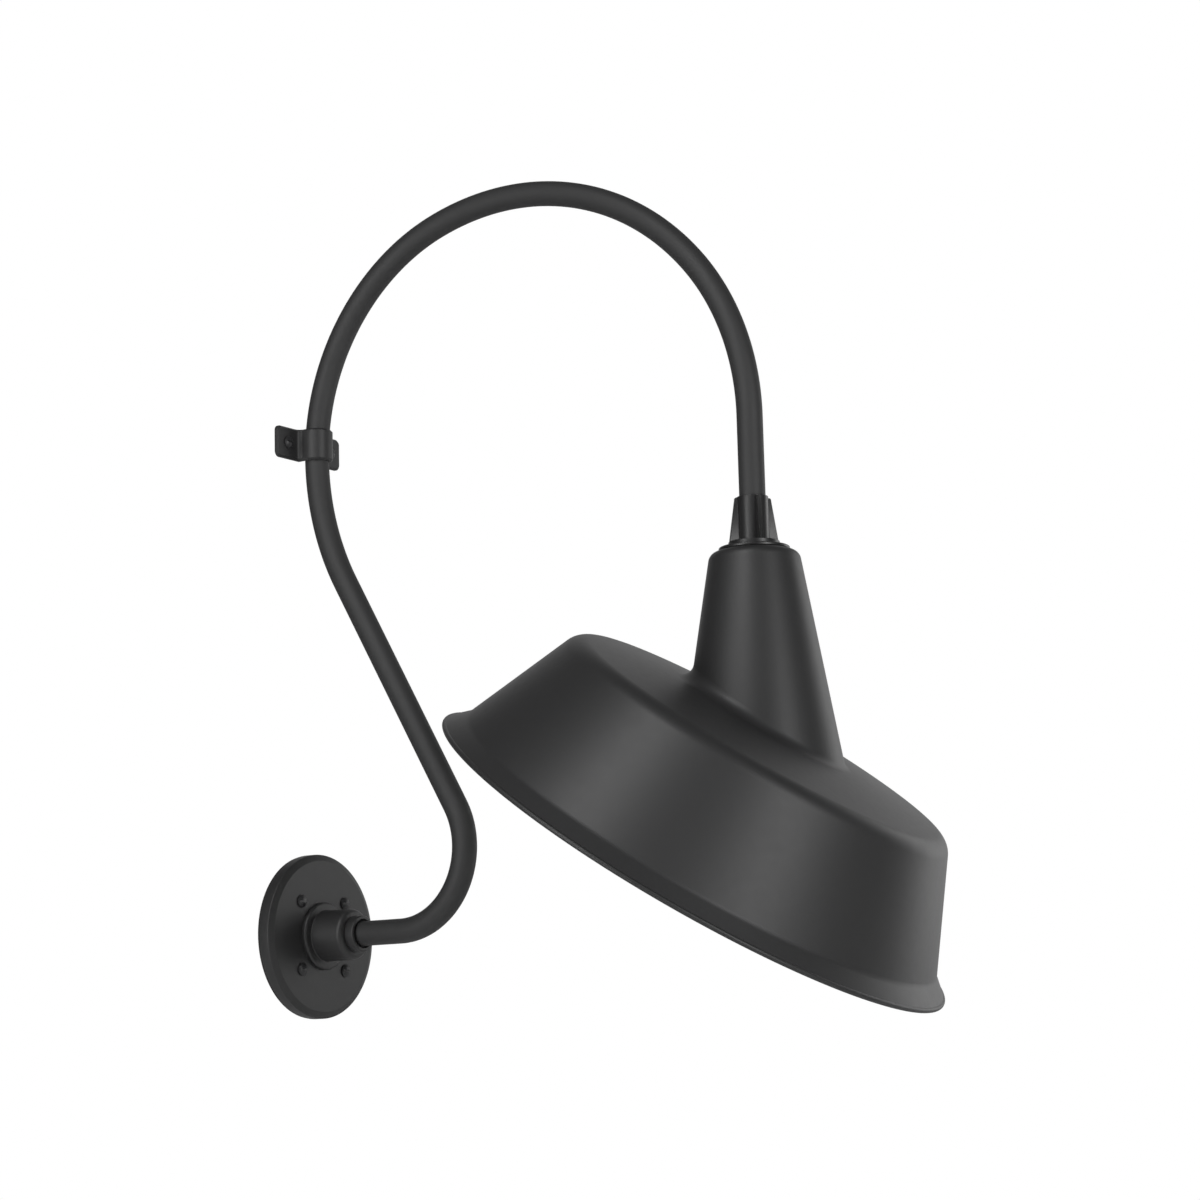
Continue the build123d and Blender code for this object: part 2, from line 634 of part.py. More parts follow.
def bulb_tip():
    return turned_up(poly((0, TIP_Z), (TIP_R / 3, TIP_Z), (TIP_R, TIP_Z - TIP_H / 2), (TIP_R, INSULATOR_Z),
                          (0, INSULATOR_Z)))


def bulb_insulator():
    top = INSULATOR_Z
    return turned_up(poly((0, top), (INSULATOR_TOP_R, top), (INSULATOR_R, CAP_Z), (0, CAP_Z)))


def bulb_cap():
    bore = CAP_R - CAP_WALL
    shoulder, under = CAP_Z - CAP_ROUND, CAP_Z - CAP_WALL
    return turned_up(poly((0, CAP_Z), (INSULATOR_R, CAP_Z), (CAP_R, shoulder), (CAP_R, GLASS_Z),
                          (bore, GLASS_Z), (bore, shoulder - CAP_WALL), (INSULATOR_R, under), (0, under)))


def glass_solid(inset):
    """Ball, waist and neck as tangent arcs, drawn in by a wall."""
    blend, half = math.radians(GLASS_BLEND), math.radians(GLASS_BLEND / 2)
    waist_r = (GLASS_R * math.cos(blend) - GLASS_NECK_R) / (1 - math.cos(blend))
    waist_z = GLASS_Z - GLASS_NECK_L
    ball_z = waist_z - (waist_r + GLASS_R) * math.sin(blend)
    ball, waist, neck = GLASS_R - inset, waist_r + inset, GLASS_NECK_R - inset
    axis_r = GLASS_NECK_R + waist_r
    meet = (ball * math.cos(blend), ball_z + ball * math.sin(blend))
    halfway = (axis_r - waist * math.cos(half), waist_z - waist * math.sin(half))
    outline = ThreePointArc((0, ball_z - ball), (ball, ball_z), meet)
    outline += ThreePointArc(meet, halfway, (neck, waist_z))
    outline += Polyline((neck, waist_z), (neck, GLASS_Z), (0, GLASS_Z), (0, ball_z - ball))
    return turned_up(make_face(outline))


def bulb_glass():
    return one(glass_solid(0.0) - glass_solid(GLASS_WALL))


# -------------------------------------------------------------------- export
FIXED = {
    "wall_plate": wall_plate(), "plate_gasket": plate_gasket(), "plate_screws": plate_screws(),
    "ground_screw": ground_screw(), "arm_hub": arm_hub(), "hub_locknut": hub_locknut(),
    "arm_set_screw": arm_set_screw(), "arm_collar": arm_collar(), "arm_seal": arm_seal(),
    "gooseneck_tube": gooseneck_tube(), "tube_bushings": tube_bushings(), "wall_strap": wall_strap(),
    "strap_screws": strap_screws(), "lead_black": lead(-LEAD_PITCH), "lead_white": lead(LEAD_PITCH),
    "lead_ground": lead(0.0)}
TURNED = {
    "shade_fitter": shade_fitter(), "shade_set_screw": shade_set_screw(), "neck_gasket": neck_gasket(),
    "neck_cone": neck_cone(), "neck_fillet": neck_fillet(), "shade_dish": shade_dish(),
    "neck_locknut": neck_locknut(), "socket_bracket": socket_bracket(), "bracket_screws": bracket_screws(),
    "socket_body": socket_body(), "socket_screws": socket_screws(), "socket_shell": socket_shell(),
    "socket_contact": socket_contact(), "bulb_tip": bulb_tip(), "bulb_insulator": bulb_insulator(),
    "bulb_cap": bulb_cap(), "bulb_glass": bulb_glass()}

TO_ROOM = Pos(0, -HUB_OUT, FITTER_Z) * Rot(0, 0, AIM)
for name, shape in FIXED.items():
    export_step(shape, "parts/" + name + ".step")
for name, shape in TURNED.items():
    export_step(TO_ROOM * shape, "parts/" + name + ".step")
print("strap centre: out %.3f, z %.3f" % (STRAP_OUT, STRAP_Z))
print("fitter top: out %.3f, z %.3f; diagonal %.2f" % (HUB_OUT, FITTER_Z, diagonal()))
print("wall screws at +-%.3f" % SCREW_XZ)
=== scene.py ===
import bmesh
import bpy
import json
import math
from mathutils import Matrix, Vector

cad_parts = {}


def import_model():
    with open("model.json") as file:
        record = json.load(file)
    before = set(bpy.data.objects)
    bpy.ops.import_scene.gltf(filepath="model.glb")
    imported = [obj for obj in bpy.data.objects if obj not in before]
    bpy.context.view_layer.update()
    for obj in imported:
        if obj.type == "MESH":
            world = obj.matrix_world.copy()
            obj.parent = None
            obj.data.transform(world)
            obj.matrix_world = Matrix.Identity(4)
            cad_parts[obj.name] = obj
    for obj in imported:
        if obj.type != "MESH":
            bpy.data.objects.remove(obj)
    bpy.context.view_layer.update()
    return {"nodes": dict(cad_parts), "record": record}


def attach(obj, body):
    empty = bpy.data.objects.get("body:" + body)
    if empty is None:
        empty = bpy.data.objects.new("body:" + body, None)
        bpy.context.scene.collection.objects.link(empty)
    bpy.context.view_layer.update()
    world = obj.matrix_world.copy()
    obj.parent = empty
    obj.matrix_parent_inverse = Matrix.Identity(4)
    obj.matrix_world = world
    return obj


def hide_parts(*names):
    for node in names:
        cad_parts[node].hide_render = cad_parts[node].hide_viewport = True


# Gooseneck wall sconce. Metres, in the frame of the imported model: the origin is
# the middle of the wall plate on the wall, -Y points into the room, +Z up.
# The pieces' own sizes are written in millimetres.

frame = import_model()
nodes = frame["nodes"]
MM = 0.001


# --------------------------------------------------------------- node trees
def new_tree(kind, name, inputs, outputs):
    """An empty node tree with named sockets: (tree, its input node, its output node)."""
    tree = bpy.data.node_groups.new(name, kind)
    for label, socket_kind, value in inputs:
        socket = tree.interface.new_socket(name=label, in_out="INPUT", socket_type=socket_kind)
        if value is not None:
            socket.default_value = value
    for label, socket_kind in outputs:
        tree.interface.new_socket(name=label, in_out="OUTPUT", socket_type=socket_kind)
    return tree, tree.nodes.new("NodeGroupInput"), tree.nodes.new("NodeGroupOutput")


def wire(tree, start, end):
    tree.links.new(start, end)


def step(tree, kind, wires=(), values=(), **settings):
    """A node with its settings, its plain values and its wired inputs."""
    node = tree.nodes.new(kind)
    for label, value in settings.items():
        setattr(node, label, value)
    for label, value in dict(values).items():
        node.inputs[label].default_value = value
    for label, start in dict(wires).items():
        wire(tree, start, node.inputs[label])
    return node


def feed(tree, value, socket):
    """Set a socket to a plain number, or wire another node's output to it."""
    if isinstance(value, (int, float)):
        socket.default_value = value
    else:
        wire(tree, value, socket)


def maths(tree, operation, a, b, clamp=False):
    node = step(tree, "ShaderNodeMath", operation=operation, use_clamp=clamp)
    for socket, value in zip(node.inputs, (a, b)):
        feed(tree, value, socket)
    return node.outputs[0]


# ---------------------------------------------------- grain of a powder coat
# Scales are per metre: slow changes of tone over the piece, small ones of gloss.
TONE_SCALE, GLOSS_SCALE = 22.0, 160.0
# What the grain adds to the tone and to the roughness, and what the small patches add to it.
GRAIN_TONE, GRAIN_GLOSS, GLOSS_DRIFT = 0.25, 0.15, 0.05


def noise(tree, vector, scale, detail, roughness=0.5):
    node = step(tree, "ShaderNodeTexNoise", {"Vector": vector},
                {"Detail": detail, "Roughness": roughness})
    feed(tree, scale, node.inputs["Scale"])
    return node.outputs["Fac"]


def swing(tree, value, amount):
    """How far a noise stands from its middle, times an amount."""
    return maths(tree, "MULTIPLY", maths(tree, "SUBTRACT", value, 0.5), amount)


def powder_grain_group():
    """Fine pebbled skin of a powder coat, with slow changes of tone and gloss."""
    group, given, made = new_tree(
        "ShaderNodeTree", "powder grain",
        [("Vector", "NodeSocketVector", None),
         ("Colour", "NodeSocketColor", (0.02, 0.02, 0.02, 1)),
         ("Gloss", "NodeSocketFloat", 0.5),
         ("Grain size", "NodeSocketFloat", 900.0),
         ("Mottle", "NodeSocketFloat", 0.1)],
        [("Colour", "NodeSocketColor"), ("Roughness", "NodeSocketFloat"),
         ("Height", "NodeSocketFloat")])
    vector = given.outputs["Vector"]
    fine = noise(group, vector, given.outputs["Grain size"], 3.0, 0.6)
    slow = noise(group, vector, TONE_SCALE, 3.0)
    patch = noise(group, vector, GLOSS_SCALE, 2.0)
    shift = swing(group, slow, given.outputs["Mottle"])
    speck = swing(group, fine, GRAIN_TONE)
    tone = maths(group, "ADD", maths(group, "ADD", shift, speck), 1.0)
    toned = step(group, "ShaderNodeVectorMath", {0: given.outputs["Colour"], "Scale": tone},
                 operation="SCALE")
    drift = swing(group, patch, GLOSS_DRIFT)
    rough = maths(group, "ADD", maths(group, "ADD", given.outputs["Gloss"], drift),
                  maths(group, "MULTIPLY", speck, GRAIN_GLOSS), clamp=True)
    wire(group, toned.outputs[0], made.inputs["Colour"])
    wire(group, rough, made.inputs["Roughness"])
    wire(group, fine, made.inputs["Height"])
    return group


POWDER = powder_grain_group()


# ---------------------------------------------------------------- materials
def new_material(name):
    """A node material: (material, its tree, its Principled shader, object coordinates)."""
    material = bpy.data.materials.new(name)
    material.use_nodes = True
    tree = material.node_tree
    place = step(tree, "ShaderNodeTexCoord").outputs["Object"]
    return material, tree, tree.nodes["Principled BSDF"], place


def finished(name, colour, gloss, metal=0.0, mottle=0.07, grain=900.0, depth=0.00003,
             specular=0.35, bite=0.3):
    """A finish with fine grain and slow changes of tone: paint, plating, rubber, glaze."""
    material, tree, shader, place = new_material(name)
    skin = step(tree, "ShaderNodeGroup", {"Vector": place},
                {"Colour": (*colour, 1), "Gloss": gloss, "Grain size": grain, "Mottle": mottle},
                node_tree=POWDER)
    pebbles = step(tree, "ShaderNodeBump", {"Height": skin.outputs["Height"]},
                   {"Strength": bite, "Distance": depth})
    wire(tree, skin.outputs["Colour"], shader.inputs["Base Color"])
    wire(tree, skin.outputs["Roughness"], shader.inputs["Roughness"])
    wire(tree, pebbles.outputs["Normal"], shader.inputs["Normal"])
    shader.inputs["Metallic"].default_value = metal
    shader.inputs["Specular IOR Level"].default_value = specular
    return material


def frosted_glass():
    material = finished("frosted_bulb_glass", (0.96, 0.96, 0.95), 0.34, mottle=0.03,
                        grain=1500.0, depth=0.00001, specular=0.5)
    shader = material.node_tree.nodes["Principled BSDF"]
    shader.inputs["Transmission Weight"].default_value = 1.0
    shader.inputs["IOR"].default_value = 1.47
    return material


COAT = (0.0150, 0.0150, 0.0154)
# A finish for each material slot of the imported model: its name, colour and roughness first.
FINISHES = {
    "black_powder_coat": finished("black_powder_coat", COAT, 0.49, specular=0.5),
    "black_screw": finished("black_screw", (0.016, 0.016, 0.017), 0.4, grain=1500.0,
                            specular=0.45),
    "zinc_steel": finished("zinc_plated_steel", (0.56, 0.57, 0.59), 0.3, metal=1.0, mottle=0.3,
                           grain=2500.0),
    "green_screw": finished("green_passivated_steel", (0.05, 0.30, 0.11), 0.35, metal=0.8,
                            mottle=0.3),
    "gasket_rubber": finished("gasket_rubber", (0.022, 0.022, 0.022), 0.8, grain=1300.0,
                              specular=0.2),
    "bushing_plastic": finished("nylon_bushing", (0.70, 0.69, 0.64), 0.5, mottle=0.06),
    "wire_black": finished("black_insulation", (0.02, 0.02, 0.02), 0.38, mottle=0.08,
                           specular=0.5),
    "wire_white": finished("white_insulation", (0.74, 0.74, 0.71), 0.38, mottle=0.06,
                           specular=0.5),
    "wire_green": finished("green_insulation", (0.04, 0.26, 0.08), 0.38, mottle=0.08,
                           specular=0.5),
    "porcelain": finished("glazed_porcelain", (0.80, 0.79, 0.75), 0.14, mottle=0.06,
                          grain=300.0, specular=0.5),
    "brass": finished("brass", (0.74, 0.52, 0.22), 0.25, metal=1.0, mottle=0.25, grain=2000.0),
    "cap_metal": finished("lamp_cap_aluminium", (0.74, 0.73, 0.71), 0.28, metal=1.0, mottle=0.2,
                          grain=2000.0),
    "black_glass": finished("vitreous_insulator", (0.012, 0.012, 0.016), 0.12, mottle=0.1,
                            specular=0.5),
    "solder": finished("solder", (0.58, 0.58, 0.57), 0.42, metal=1.0, mottle=0.4, grain=1200.0,
                       depth=0.0001),
    "bulb_glass": frosted_glass()}
TUBE_COAT = finished("black_powder_coat_matte", COAT, 0.63, specular=0.58, bite=0.15)
SATIN_COAT = finished("black_powder_coat_satin", (0.0095, 0.0095, 0.0098), 0.38, grain=1200.0,
                      specular=0.55)
ENAMEL = finished("white_enamel_lining", (0.80, 0.80, 0.78), 0.3, mottle=0.03, grain=700.0,
                  specular=0.45)

for row in frame["record"]["subparts"]:
    node = nodes[row["node"]]
    node.data.materials.clear()
    node.data.materials.append(FINISHES[row["material_slot"]])


# ----------------------------------------------------------- geometry trees
# A face is lined where this share of its corners is marked; a corner made by a cut has no mark.
LINED_SHARE = 0.25
FINISH_INPUTS = [("Crease angle", "NodeSocketFloat", math.radians(32)),
                 ("Coat", "NodeSocketMaterial", None), ("Lining", "NodeSocketMaterial", None)]
# A profile is turned along a circle of this radius in metres, and moved inwards by as much.
GUIDE_R = 1.0
SAME_POINT = 0.000002


def geometry_tree(name, inputs):
    """A geometry tree with named inputs: (tree, its input node, its output node)."""
    return new_tree("GeometryNodeTree", name,
                    [("Geometry", "NodeSocketGeometry", None)] + inputs + FINISH_INPUTS,
                    [("Geometry", "NodeSocketGeometry")])


def named_value(tree, name):
    return step(tree, "GeometryNodeInputNamedAttribute", values={"Name": name},
                data_type="FLOAT").outputs["Attribute"]


def over(tree, wires, values=()):
    """True where the number A is greater than the number B."""
    return step(tree, "FunctionNodeCompare", wires, values, data_type="FLOAT",
                operation="GREATER_THAN").outputs[0]


def creased(tree, geometry, angle):
    """Smooth faces, with an edge kept sharp where the surface turns more than the angle."""
    smooth = step(tree, "GeometryNodeSetShadeSmooth", {"Geometry": geometry},
                  {"Shade Smooth": True}, domain="FACE")
    bend = step(tree, "GeometryNodeInputMeshEdgeAngle").outputs["Unsigned Angle"]
    sharp = over(tree, {"A": bend, "B": angle})
    return step(tree, "GeometryNodeSetShadeSmooth",
                {"Geometry": smooth.outputs[0], "Selection": sharp}, {"Shade Smooth": False},
                domain="EDGE").outputs[0]


def coated(tree, geometry, given, made, lined=True):
    """The tree's end: real geometry, its coat, and the lining where the profile asks for it."""
    real = step(tree, "GeometryNodeRealizeInstances", {"Geometry": geometry})
    coat = step(tree, "GeometryNodeSetMaterial",
                {"Geometry": real.outputs[0], "Material": given.outputs["Coat"]})
    if lined:
        inside = over(tree, {"A": named_value(tree, "lined")}, {"B": LINED_SHARE})
        coat = step(tree, "GeometryNodeSetMaterial",
                    {"Geometry": coat.outputs[0], "Selection": inside,
                     "Material": given.outputs["Lining"]})
    wire(tree, coat.outputs[0], made.inputs[0])


def finish_skin(tree, geometry, given, made, lined=True):
    """Crease the skin and coat it."""
    skin = creased(tree, geometry, given.outputs["Crease angle"])
    coated(tree, skin, given, made, lined)
    return tree


def tool(tree, given, label):
    """The geometry of another object that the tree is given, in this one's frame."""
    return step(tree, "GeometryNodeObjectInfo", {"Object": given.outputs[label]},
                transform_space="RELATIVE").outputs["Geometry"]


def rounded_line(tree, given, steps, limited):
    """The seed's line with each corner rounded to its own radius."""
    line = step(tree, "GeometryNodeMeshToCurve", {"Mesh": given.outputs[0]})
    return step(tree, "GeometryNodeFilletCurve",
                {"Curve": line.outputs[0], "Count": given.outputs[steps],
                 "Radius": named_value(tree, "round")}, {"Limit Radius": limited},
                mode="POLY").outputs[0]


def turning_tree():
    """A profile, radius along X and height along Y, turned about Z with its corners rounded."""
    tree, given, made = geometry_tree(
        "turned piece", [("Sides", "NodeSocketInt", 96), ("Steps in a round", "NodeSocketInt", 6)])
    outline = rounded_line(tree, given, "Steps in a round", True)
    shifted = step(tree, "GeometryNodeTransform", {"Geometry": outline},
                   {"Translation": (-GUIDE_R, 0, 0), "Rotation": (math.pi, 0, 0)})
    circle = step(tree, "GeometryNodeCurvePrimitiveCircle",
                  {"Resolution": given.outputs["Sides"]}, {"Radius": GUIDE_R}, mode="RADIUS")
    upright = step(tree, "GeometryNodeSetCurveNormal", {"Curve": circle.outputs[0]}, mode="Z_UP")
    skin = step(tree, "GeometryNodeCurveToMesh",
                {"Curve": upright.outputs[0], "Profile Curve": shifted.outputs[0]})
    closed = step(tree, "GeometryNodeMergeByDistance", {"Geometry": skin.outputs[0]},
                  {"Distance": SAME_POINT})
    return finish_skin(tree, closed.outputs[0], given, made)


def bending_tree():
    """A tube along a line whose corners are bent to their own radii, open at its ends."""
    tree, given, made = geometry_tree(
        "bent tube", [("Sides", "NodeSocketInt", 64), ("Steps in a bend", "NodeSocketInt", 48),
                      ("Outside radius", "NodeSocketFloat", 0.01),
                      ("Wall", "NodeSocketFloat", 0.0015)])
    bent = rounded_line(tree, given, "Steps in a bend", False)
    outside_r = given.outputs["Outside radius"]
    bore_r = maths(tree, "SUBTRACT", outside_r, given.outputs["Wall"])
    skins = []
    for radius in (outside_r, bore_r):
        section = step(tree, "GeometryNodeCurvePrimitiveCircle",
                       {"Resolution": given.outputs["Sides"], "Radius": radius}, mode="RADIUS")
        skins.append(step(tree, "GeometryNodeCurveToMesh",
                          {"Curve": bent, "Profile Curve": section.outputs[0]}).outputs[0])
    wound_in = step(tree, "GeometryNodeFlipFaces", {"Mesh": skins[1]})
    both = step(tree, "GeometryNodeJoinGeometry")
    wire(tree, skins[0], both.inputs[0])
    wire(tree, wound_in.outputs[0], both.inputs[0])
    return finish_skin(tree, both.outputs[0], given, made, lined=False)


def trimming_tree():
    """A solid with another solid cut away from it."""
    tree, given, made = geometry_tree("trimmed piece", [("Cutter", "NodeSocketObject", None)])
    cutter = tool(tree, given, "Cutter")
    cut = step(tree, "GeometryNodeMeshBoolean", {"Mesh 1": given.outputs[0], "Mesh 2": cutter},
               operation="DIFFERENCE", solver="EXACT")
    return finish_skin(tree, cut.outputs[0], given, made)


def smoothing_tree():
    """A finished skin, smooth but for its creases."""
    tree, given, made = geometry_tree("smoothed skin", [])
    return finish_skin(tree, given.outputs[0], given, made, lined=False)


def ribbing_tree():
    """Ribs set evenly round a turned body and joined to it."""
    tree, given, made = geometry_tree(
        "ribbed body", [("Rib", "NodeSocketObject", None), ("Ribs", "NodeSocketInt", 4),
                        ("First rib", "NodeSocketFloat", 0.0)])
    rib = tool(tree, given, "Rib")
    spots = step(tree, "GeometryNodePoints", {"Count": given.outputs["Ribs"]})
    share = maths(tree, "DIVIDE", 2 * math.pi, given.outputs["Ribs"])
    count = step(tree, "GeometryNodeInputIndex").outputs[0]
    turn = step(tree, "ShaderNodeMath", {0: count, 1: share, 2: given.outputs["First rib"]},
                operation="MULTIPLY_ADD")
    about = step(tree, "FunctionNodeAxisAngleToRotation", {"Angle": turn.outputs[0]},
                 {"Axis": (0, 0, 1)})
    ribs = step(tree, "GeometryNodeInstanceOnPoints",
                {"Points": spots.outputs[0], "Instance": rib, "Rotation": about.outputs[0]})
    real = step(tree, "GeometryNodeRealizeInstances", {"Geometry": ribs.outputs[0]})
    joined = step(tree, "GeometryNodeMeshBoolean", operation="UNION", solver="EXACT")
    joined.inputs["Self Intersection"].default_value = True
    wire(tree, given.outputs[0], joined.inputs["Mesh 2"])
    wire(tree, real.outputs[0], joined.inputs["Mesh 2"])
    return finish_skin(tree, joined.outputs[0], given, made, lined=False)


def setting_tree():
    """One screw set at each point, its slot turned by the point's own angle."""
    tree, given, made = geometry_tree("set of screws", [("Screw", "NodeSocketObject", None)])
    screw = tool(tree, given, "Screw")
    about = step(tree, "FunctionNodeAxisAngleToRotation", {"Angle": named_value(tree, "turn")},
                 {"Axis": (0, 1, 0)})
    copies = step(tree, "GeometryNodeInstanceOnPoints",
                  {"Points": given.outputs[0], "Instance": screw, "Rotation": about.outputs[0]})
    coated(tree, copies.outputs[0], given, made, lined=False)
    return tree


TURNED, BENT, TRIMMED = turning_tree(), bending_tree(), trimming_tree()
SMOOTHED, RIBBED, SET_OUT = smoothing_tree(), ribbing_tree(), setting_tree()


# ------------------------------------------------------------------- making
WELD = 0.000001                               # metres within which two points are one
QUARTER = math.radians(90)


def in_scene(name, data):
    obj = bpy.data.objects.new(name, data)
    bpy.context.scene.collection.objects.link(obj)
    return obj


def mesh_of(name, work):
    """The mesh of a finished piece of bmesh work."""
    mesh = bpy.data.meshes.new(name)
    work.to_mesh(mesh)
    work.free()
    return mesh


def seed_mesh(name, points, edges=(), faces=(), **attributes):
    mesh = bpy.data.meshes.new(name)
    mesh.from_pydata(points, edges, faces)
    for label, values in attributes.items():
        layer = mesh.attributes.new(label, "FLOAT", "POINT")
        layer.data.foreach_set("value", values)
    return mesh


def profile(name, rows, closed=True):
    """A turning profile: rows of radius, height and, where needed, a round and a lining mark."""
    rows = [tuple(row) + (0.0,) * (4 - len(row)) for row in rows]
    count = len(rows)
    edges = [(i, (i + 1) % count) for i in range(count if closed else count - 1)]
    return seed_mesh(name, [(r * MM, h * MM, 0) for r, h, _, _ in rows], edges,
                     round=[row[2] * MM for row in rows], lined=[row[3] for row in rows])


def shaped(name, mesh, tree, place=None, **values):
    """Run a tree on a seed mesh, keep the result as a plain mesh, and set it in its place."""
    obj = in_scene(name, mesh)
    modifier = obj.modifiers.new("shape", "NODES")
    modifier.node_group = tree
    wanted = {label.replace("_", " "): value for label, value in values.items()}
    wanted.setdefault("Coat", FINISHES["black_powder_coat"])
    wanted.setdefault("Lining", wanted["Coat"])
    for item in tree.interface.items_tree:
        if item.item_type == "SOCKET" and item.in_out == "INPUT" and item.name in wanted:
            modifier[item.identifier] = wanted[item.name]
    view = bpy.context.evaluated_depsgraph_get()
    result = bpy.data.meshes.new_from_object(
        obj.evaluated_get(view), preserve_all_data_layers=True, depsgraph=view)
    obj.modifiers.clear()
    obj.data = result
    result.name = name
    work = bmesh.new()
    work.from_mesh(result)
    bmesh.ops.remove_doubles(work, verts=work.verts, dist=WELD)
    bmesh.ops.recalc_face_normals(work, faces=work.faces)
    work.to_mesh(result)
    work.free()
    if place is not None:
        result.transform(place)
    return obj


def trimmed(name, blank, cutter, place=None, **finish):
    """Cut the cutter out of a blank, and let both go."""
    piece = shaped(name, blank.data.copy(), TRIMMED, place, Cutter=cutter, **finish)
    let_go(blank, cutter)
    return piece


def let_go(*objs):
    for obj in objs:
        bpy.data.objects.remove(obj)


def block(name, lo, hi):
    """A block between two corners."""
    work = bmesh.new()
    bmesh.ops.create_cube(work, size=1.0)
    for vert in work.verts:
        vert.co = Vector([(a + b) / 2 + v * (b - a) for a, b, v in zip(lo, hi, vert.co)]) * MM
    return in_scene(name, mesh_of(name, work))


def standing_for(piece, body, finish, *replaced):
    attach(piece, body)
    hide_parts(*replaced)


def moved(x=0.0, y=0.0, z=0.0):
    return Matrix.Translation(Vector((x, y, z)) * MM)


OUTWARDS = Matrix.Rotation(QUARTER, 4, "X")   # lays a turned piece's height along -Y


# -------------------------------------------------------- plate, hub, collar
# Heights are distances from the wall.
PLATE_R, PLATE_WELL_R, PLATE_BORE, GASKET = 63.5, 58, 13, 1.6
FACE, BACK = 12.6, 9.6                        # the plate's face, outside and inside
BEVEL_IN, BEVEL_DOWN = 5, 2.4                 # of the plate's outer edge
HUB_HOLE, HUB_FLANGE_R, HUB_FLANGE, BOSS_R = 7, 26.1, 16.3, 19.6
BOSS_FRONT, TUBE_SEAT, TUBE_START = 44.8, 20, 21.0
SET_SCREW_R, SET_SCREW_BACK = 2.5, 8.8        # its hole, and how far that is behind the front
IN_BORE, PAST_BOSS = 8, 25                    # where the drill for that hole starts and ends
COLLAR_R, COLLAR_FRONT, MOUTH_R, MOUTH_FLOOR = 14.05, 52.5, 11.1, 46.8
TUBE_R, TUBE_WALL = 9.525, 1.5


def wall_plate():
    mesh = profile("wall_plate_profile", [
        (PLATE_BORE, BACK), (PLATE_WELL_R - 4, BACK, 1), (PLATE_WELL_R, BACK - 2.4, 1),
        (PLATE_WELL_R, GASKET, 0.4), (PLATE_R, GASKET, 0.4), (PLATE_R, FACE - BEVEL_DOWN, 1.1),
        (PLATE_R - BEVEL_IN, FACE, 1.6), (PLATE_BORE, FACE)])
    piece = shaped("wall_plate_spun", mesh, TURNED, OUTWARDS, Sides=192)
    standing_for(piece, "mount", "black_powder_coat", "wall_plate")


def arm_hub():
    mesh = profile("arm_hub_profile", [
        (HUB_HOLE, 1.8, 0.3), (12.6, 1.8, 0.3), (PLATE_BORE, 2.3), (PLATE_BORE, FACE),
        (HUB_FLANGE_R, FACE), (HUB_FLANGE_R, HUB_FLANGE, 2.0), (BOSS_R, HUB_FLANGE, 0.9),
        (BOSS_R, BOSS_FRONT, 4.2), (TUBE_R, BOSS_FRONT), (TUBE_R, TUBE_SEAT),
        (HUB_HOLE, TUBE_SEAT)])
    blank = shaped("arm_hub_blank", mesh, TURNED, OUTWARDS, Sides=128)
    bit = [(0, IN_BORE), (SET_SCREW_R, IN_BORE), (SET_SCREW_R, PAST_BOSS), (0, PAST_BOSS)]
    drill = shaped("drill", profile("drill", bit, False), TURNED,
                   moved(y=SET_SCREW_BACK - BOSS_FRONT) @ Matrix.Rotation(QUARTER, 4, "Y"),
                   Sides=32)
    piece = trimmed("arm_hub_drilled", blank, drill)
    standing_for(piece, "mount", "black_powder_coat", "arm_hub")


def arm_collar():
    mesh = profile("arm_collar_profile", [
        (TUBE_R, BOSS_FRONT), (COLLAR_R, BOSS_FRONT, 0.3), (COLLAR_R, COLLAR_FRONT, 1.2),
        (MOUTH_R, COLLAR_FRONT, 0.5), (MOUTH_R, MOUTH_FLOOR), (TUBE_R, MOUTH_FLOOR)])
    piece = shaped("arm_collar_turned", mesh, TURNED, OUTWARDS, Sides=96)
    standing_for(piece, "mount", "black_powder_coat", "arm_collar")


# ---------------------------------------------------------------- gooseneck
LEG = 88.9                                    # from the wall to the lower bend
AT_STRAP = TUBE_R + 1.4                       # tube's centre from the wall, under the strap
LOWER_BEND_R, LOWER_BEND, REVERSE_BEND_R = 61.7, 119.5, 215.0
LEAN = math.radians(LOWER_BEND)
DIAGONAL = (LEG + LOWER_BEND_R * math.sin(LEAN) - REVERSE_BEND_R * (1 - math.sin(LEAN))
            - AT_STRAP) / -math.cos(LEAN)
DROP, IN_FITTER = 59.5, 25.0
# The bender's table: a straight, the bend after it in degrees, and that bend's radius.
BENDS = [(LEG - TUBE_START, LOWER_BEND, LOWER_BEND_R),
         (DIAGONAL, 90 - LOWER_BEND, REVERSE_BEND_R),
         (0, -72.7, 174.5), (0, -68.4, 220.6), (0, -38.9, 195.4), (DROP + IN_FITTER, 0, 0)]


def join_ends(piece, ends):
    """Join the tube's outside to its bore with a flat ring at each end."""
    work = bmesh.new()
    work.from_mesh(piece.data)
    middle = (TUBE_R - TUBE_WALL / 2) * MM
    for end in ends:
        rims = [edge for edge in work.edges
                if edge.is_boundary and (edge.verts[0].co - end).length < 2 * TUBE_R * MM]
        corners = [vert for edge in rims for vert in edge.verts]
        bore = [vert for vert in corners if (vert.co - end).length < middle]
        inward = {vert: min(bore, key=lambda near: (near.co - vert.co).length)
                  for vert in corners if (vert.co - end).length > middle}
        for a, b in [edge.verts for edge in rims]:
            if a in inward:
                work.faces.new((a, b, inward[b], inward[a]))
    bmesh.ops.recalc_face_normals(work, faces=work.faces)
    work.to_mesh(piece.data)
    work.free()


